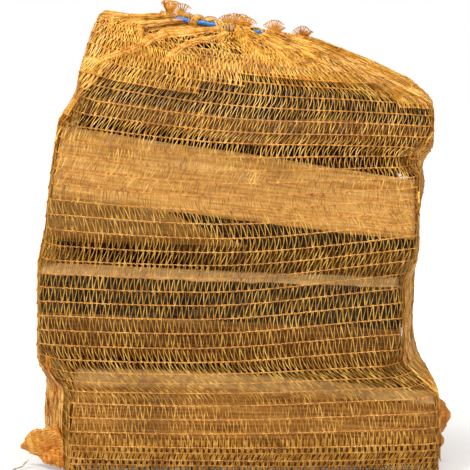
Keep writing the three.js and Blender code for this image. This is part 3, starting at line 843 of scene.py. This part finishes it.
def braided_polypropylene(name):
    """Braided polypropylene cord: bright blue, satin, its strands crossing every 3 mm, with paler
    worn fibres on top of them."""
    material, tree, shader = new_material(name)
    place = add(tree, "TexCoord").outputs["Object"]
    fibre = add(tree, "TexNoise", {"Scale": 900, "Detail": 3}, {"Vector": place})
    colour = add(tree, "ValToRGB", {}, {0: fibre},
                 [(0.3, "#0f3f80"), (0.5, "#1f6fc0"), (0.72, "#5aa4e4")])
    tree.links.new(colour.outputs[0], shader.inputs["Base Color"])
    bump = add(tree, "Bump", {"Strength": 0.5, "Distance": 0.3 * MM}, {"Height": fibre})
    tree.links.new(bump.outputs[0], shader.inputs["Normal"])
    shader.inputs["Roughness"].default_value = 0.42
    shader.inputs["Specular IOR Level"].default_value = 0.5
    return material


angle = np.linspace(0, 2 * np.pi, 480, endpoint=False)
sway = 0.3 * np.sin(9 * angle) + 0.2 * np.sin(23 * angle)
ring_path = mouth_point(angle, CORD_OUT, sway)
knot_at = mouth_point(np.array(0.5 * np.pi), CORD_OUT + 4.6, -1.0)
t = np.linspace(0.35, 2 * np.pi - 0.35, 70)
knot = knot_at + 1.75 * np.stack(
    [np.sin(t) + 2 * np.sin(2 * t), -1.1 * np.sin(3 * t), np.cos(t) - 2 * np.cos(2 * t)], -1)
# each end hangs down and outwards from the knot, bowed a little
t = np.linspace(0, 1, 12)
ends = [knot_at + np.array((side * 3.4, 1.0, -2.0)) + t[:, None] * (side * 5.5, 2.5, -9.0)
        + np.stack([0 * t, np.sin(3 * t), 0 * t], -1) for side in (-1, 1)]
cord = join_tubes("drawstring_cord", [
    tube(ring_path, CORD_RADIUS, 16, closed=True, strands=8, turns=96),
    tube(knot, CORD_RADIUS * 0.9, 12, strands=8, turns=16),
    *(tube(end, CORD_RADIUS * np.r_[np.ones(10), 0.9, 0.55], 12, strands=8, turns=4) for end in ends)])
cord.data.materials.append(braided_polypropylene("braided_polypropylene"))
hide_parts("drawstring")

# The net's loops over the cord: each goes from the net up outside the cord and in again over it,
# but for the stretches of its front, by x, where the cord shows.
CORD_SHOWS = ((-62, -46), (-37, -22), (16, 22), (40, 43), (52, 56))
loop_at = rng.uniform(0, 2 * np.pi, 420)
x_at = MOUTH_HALF_WIDTH * np.cos(loop_at)
shows = (np.sin(loop_at) < 0.3) & np.any([(x_at > a) & (x_at < b) for a, b in CORD_SHOWS], axis=0)
loop_at = loop_at[~shows]
t = np.linspace(-0.25, 1.1, 7)[None, :] * np.pi
wide, drift = rng.uniform(0.6, 1.1, len(loop_at))[:, None], rng.normal(0, 0.02, len(loop_at))[:, None]
out_by = CORD_OUT + (CORD_RADIUS + 0.9) * np.cos(t - 0.3 * np.pi)
up_by = (CORD_RADIUS + 1.2) * np.sin(t - 0.3 * np.pi) * 1.25
paths = mouth_point(loop_at[:, None] + drift * t, out_by, up_by)
loop_out = paths - mouth_point(loop_at[:, None] + drift * t, CORD_OUT + 0 * out_by, 0 * up_by)
loop_out /= np.linalg.norm(loop_out, axis=-1, keepdims=True)
loops = tapes(paths, loop_out, wide + 0 * t, 0.6)
# every ninth one is doubled by an orange one over it
over = tapes(paths[::9] + 0.4 * loop_out[::9], loop_out[::9], 0.9 + 0 * t + 0 * wide[::9], 0.6)
net_piece("cord_loops", loops, over, (golden_tape, stitch_tape))

# ------------------------------------------------------------------------------------ corners
# The two bottom corners of the sack stick out as folded ears of doubled net, saturated orange where
# the layers lie on each other. A core gives each its body; net lies over it.


def ear(root, tip, root_size, tip_size, seed):
    """A place(row, turn) for a flattened, crumpled tube from root to tip: row 0..6 along it, turn
    0..1 round it. Half its height and half its thickness run from root_size to tip_size and
    close in a round end; folds of random depth run along it."""
    root, tip = np.array(root, float), np.array(tip, float)
    axis = (tip - root) / np.linalg.norm(tip - root)
    level = np.cross((0, 1.0, 0), axis)

    def place(row, turn):
        row, turn = np.broadcast_arrays(row, turn)
        share = np.clip(row / 6.0, 0, 1)
        close = np.sqrt(np.clip(1 - (np.clip(share - 0.55, 0, 1) / 0.47) ** 2, 0, 1))
        around = 2 * np.pi * turn
        high = (root_size[0] * (1 - share) + tip_size[0] * share) * close
        thick = (root_size[1] * (1 - share) + tip_size[1] * share) * close
        crumple = (1 + 0.9 * (lattice_noise(share * 4, turn * 9, seed, 9) - 0.5)
                   + 0.5 * (lattice_noise(share * 9, turn * 17, seed + 1, 17) - 0.5)
                   + 0.1 * np.sin(9 * around))
        centre = root + (tip - root) * share[..., None]
        return (centre + np.array((0, 1.0, 0)) * (thick * np.sin(around) * crumple)[..., None]
                + level * (high * np.cos(around) * crumple)[..., None])
    return place


def ear_core(name, place):
    """A closed smooth skin just inside an ear's surface."""
    rows, sides, shrink = 40, 48, 0.84
    points = place(np.linspace(0, 5.97, rows)[:, None], np.linspace(0, 1, sides, endpoint=False)[None])
    middle = points.mean(1, keepdims=True)
    points = middle + (points - middle) * shrink
    poles = np.stack([points[0].mean(0), points[-1].mean(0)])
    points = np.concatenate([points.reshape(-1, 3), poles])
    piece = new_piece(name, points, *capped_grid(rows, sides, flipped=True))
    piece.data.materials.append(layered_net)
    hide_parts("net_sack")


def layered_tape(name):
    """Many layers of the orange net pressed together: glossy tapes in crossing directions, deep red-orange in
    the hollows between them, partly the lower layers' own saturated colour and partly painted shade."""
    material, tree, shader = new_material(name)
    place = add(tree, "TexCoord").outputs["Object"]
    waves = [add(tree, "TexWave", {"Scale": 260, "Distortion": 6, "Detail": 2, "bands_direction": way},
                 {"Vector": place}).outputs["Fac"] for way in ("X", "Z")]
    weave = add(tree, "Math", {"operation": "MAXIMUM"}, {0: waves[0], 1: waves[1]})
    patch = add(tree, "TexNoise", {"Scale": 120, "Detail": 2}, {"Vector": place})
    tone = add(tree, "Math", {"operation": "MULTIPLY_ADD", 1: 0.5}, {0: weave})
    half = add(tree, "Math", {"operation": "MULTIPLY_ADD", 1: 0.9, 2: -0.2}, {0: patch})
    tree.links.new(half.outputs[0], tone.inputs[2])
    # painted shade, in part: the low parts of the weave, where the bump sinks, take the deep red-orange
    colour = add(tree, "ValToRGB", {}, {0: tone},
                 [(0.2, "#a8440c"), (0.5, "#e98a1e"), (0.85, "#ffba4c")])
    tree.links.new(colour.outputs[0], shader.inputs["Base Color"])
    bump = add(tree, "Bump", {"Strength": 0.8, "Distance": 0.6 * MM}, {"Height": weave})
    tree.links.new(bump.outputs[0], shader.inputs["Normal"])
    shader.inputs["Roughness"].default_value = 0.42
    return material


layered_net = layered_tape("layered_tape")
EARS = {"left_ear": [((-160, -86, 31), (-200, -58, 18), (17, 6), (7, 3.0)),
                     ((-158, -90, 13), (-183, -68, 12), (9, 4), (6, 2.5))],
        "right_ear": [((168, -40, 43), (198, -27, 44), (17, 5), (11, 3.5)),
                      ((168, -40, 20), (192, -28, 20), (12, 4.5), (8, 3.0))]}
for name, lobes in EARS.items():
    knitted = []
    for number, (root, tip, root_size, tip_size) in enumerate(lobes):
        lobe = ear(root, tip, root_size, tip_size, 900 + number)
        ear_core(f"{name}_core_{number + 1}", lobe)
        knitted.append(knit(lobe, 0, 5, 0.0, 1.0, 40, scale=0.85, last_stitch=1))
    net_piece(name, *(merge(*pair) for pair in zip(*knitted)), (ear_tape, deep_orange))

# ------------------------------------------------------------------------------------ seam thread
# The bottom of the sack is closed with a pale chain-stitched thread that runs along under the logs;
# its end hangs out at the left corner, frayed into thin yarns.
SEAM_HALF_LENGTH = 165
yarns = []
for k in range(5):
    points = np.array([(-192, -66, 8), (-195, -70, 5), (-199, -74, 2.4), (-205, -80, 1.2)], float)
    points[1:] += rng.normal(0, 0.9, (3, 3)) * (1, 1, 0.5) * np.array([[0.5], [0.9], [1.3]])
    points[:, 2] = np.maximum(points[:, 2], 0.8)
    t = np.linspace(0, 3, 28)
    curve = np.stack([np.interp(t, np.arange(4), points[:, axis]) for axis in range(3)], -1)
    curve[1:-1] = (curve[:-2] + curve[1:-1] + curve[2:]) / 3
    yarns.append(tube(curve, 0.32 + 0.06 * np.sin(9 * t + k), 8))
t = np.linspace(-SEAM_HALF_LENGTH, SEAM_HALF_LENGTH, 420)
stitches = np.stack([t, 0.9 * np.sin(2 * np.pi * t / 4), 1.0 + 0 * t], -1)
yarns.append(tube(stitches, 0.6, 8))
seam = join_tubes("seam_yarn", yarns)
cotton, tree, shader = new_material("spun_yarn")
# spun polyester yarn: off-white, matt and slightly fuzzy, with grey dust in it
place = add(tree, "TexCoord").outputs["Object"]
dust = add(tree, "TexNoise", {"Scale": 600, "Detail": 3}, {"Vector": place})
tint = add(tree, "ValToRGB", {}, {0: dust}, [(0.3, "#8d8678"), (0.5, "#c9c2b4"), (0.7, "#ece7dc")])
tree.links.new(tint.outputs[0], shader.inputs["Base Color"])
shader.inputs["Roughness"].default_value = 0.85
shader.inputs["Sheen Weight"].default_value = 0.3
seam.data.materials.append(cotton)
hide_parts("seam_thread")

# ------------------------------------------------------------------------------------ studio
# A plain pale floor under a soft overhead light, a soft key light from the left front and an even
# pale surround.
AIM = (-2.8 * MM, 0, 209.1 * MM)
DISTANCE, ELEVATION, VIEW_WIDTH = 2.6, np.radians(5), 0.4395

mesh = bpy.data.meshes.new("floor")
mesh.from_pydata([(-8, -8, 0), (8, -8, 0), (8, 8, 0), (-8, 8, 0)], [], [(0, 1, 2, 3)])
floor = bpy.data.objects.new("floor", mesh)
bpy.context.scene.collection.objects.link(floor)
floor_material, tree, shader = new_material("pale_floor")
shader.inputs["Base Color"].default_value = linear("#d8d6d2")
shader.inputs["Roughness"].default_value = 0.9
shader.inputs["Emission Color"].default_value = (1, 1, 1, 1)
# painted glow, seen by the camera only: the paper brightens with distance from the sack, so that it meets the
# white surround unseen, and glows less near the sack
place = add(tree, "TexCoord").outputs["Object"]
away = add(tree, "VectorMath", {"operation": "LENGTH"}, {0: place})
glow = add(tree, "MapRange", {"From Min": 0.25, "From Max": 0.8, "To Min": 0.35, "To Max": 1.0},
           {0: away.outputs["Value"]})
seen = add(tree, "LightPath")
shown = add(tree, "Math", {"operation": "MULTIPLY"}, {0: glow, 1: seen.outputs["Is Camera Ray"]})
tree.links.new(shown.outputs[0], shader.inputs["Emission Strength"])
floor.data.materials.append(floor_material)

world = bpy.data.worlds.new("surround")
bpy.context.scene.world = world
world.use_nodes = True
tree = world.node_tree
soft = tree.nodes["Background"]
soft.inputs["Color"].default_value = (1, 1, 1, 1)
soft.inputs["Strength"].default_value = 0.34
white = add(tree, "Background", {"Color": (1, 1, 1, 1), "Strength": 1.0})
seen = add(tree, "LightPath")
both = add(tree, "MixShader", {}, {0: seen.outputs["Is Camera Ray"], 1: soft, 2: white})
tree.links.new(both.outputs[0], tree.nodes["World Output"].inputs["Surface"])


def soft_light(name, place, size, power):
    """A square area light at `place`, facing the middle of the sack."""
    data = bpy.data.lights.new(name, "AREA")
    data.size, data.energy = size, power
    light = bpy.data.objects.new(name, data)
    light.location = place
    light.rotation_euler = (Vector(AIM) - Vector(place)).to_track_quat("-Z", "Y").to_euler()
    bpy.context.scene.collection.objects.link(light)


soft_light("key", (-1.1, -1.6, 2.1), 0.7, 50)
soft_light("fill", (1.3, -2.0, 0.9), 1.2, 8)
soft_light("overhead", (0.1, -0.2, 2.2), 0.9, 26)

camera = bpy.data.objects.new("camera", bpy.data.cameras.new("camera"))
camera.data.lens = camera.data.sensor_width * DISTANCE / VIEW_WIDTH
away = Vector((0, -np.cos(ELEVATION), np.sin(ELEVATION)))
camera.location = Vector(AIM) + away * DISTANCE
camera.rotation_euler = (-away).to_track_quat("-Z", "Y").to_euler()
bpy.context.scene.collection.objects.link(camera)
bpy.context.scene.camera = camera
bpy.context.scene.view_settings.view_transform = "Standard"
